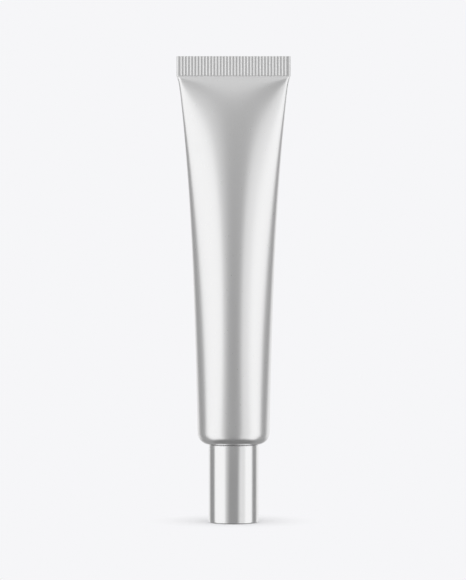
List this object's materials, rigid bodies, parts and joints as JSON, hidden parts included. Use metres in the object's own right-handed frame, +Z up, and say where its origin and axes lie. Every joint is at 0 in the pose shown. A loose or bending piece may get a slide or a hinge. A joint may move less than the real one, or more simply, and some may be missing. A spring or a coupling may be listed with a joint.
{
  "type": "shaving cream tube",
  "caption": "Slim metallised squeeze tube with a flat grooved heat seal, standing upside down on a straight metal-shelled screw cap.",
  "frame": {"origin": "centre of the cap's flat end, which the tube stands on", "axes": "+Z up along the tube's axis towards the seal, the flat seal runs along X, the front of the tube faces -Y"},
  "size_m": [0.0396, 0.025, 0.1619],
  "materials": {
    "sleeve_laminate": "satin metallised film over plastic",
    "shoulder_plastic": "moulded polyethylene",
    "disc_laminate": "bright foil laminate",
    "insert_plastic": "soft polyethylene",
    "cream": "smooth moist cream",
    "wad_foam": "fine closed-cell foam",
    "core_plastic": "moulded polypropylene",
    "cap_metal": "satin anodised drawn shell"
  },
  "bodies": {
    "cap": {"cap_shell": "cap_metal", "cap_core": "core_plastic"},
    "wad": {"sealing_wad": "wad_foam"},
    "tube": {"tube_sleeve": "sleeve_laminate", "tube_shoulder": "shoulder_plastic", "barrier_disc": "disc_laminate", "nozzle_insert": "insert_plastic", "cream_fill": "cream"}
  },
  "joints": [
    {"name": "cap_turn", "type": "hinge", "parent": "cap", "child": "wad", "pos_m": [0, 0, 0.0159], "axis": [0, 0, 1], "range_deg": [0, 2160]},
    {"name": "tube_lift", "type": "slide", "parent": "wad", "child": "tube", "axis": [0, 0, 1], "range_m": [0, 0.01501]}
  ],
  "couplings": [
    {"joint": "tube_lift", "follows": "cap_turn", "m_per_rad": 0.00039789}
  ]
}
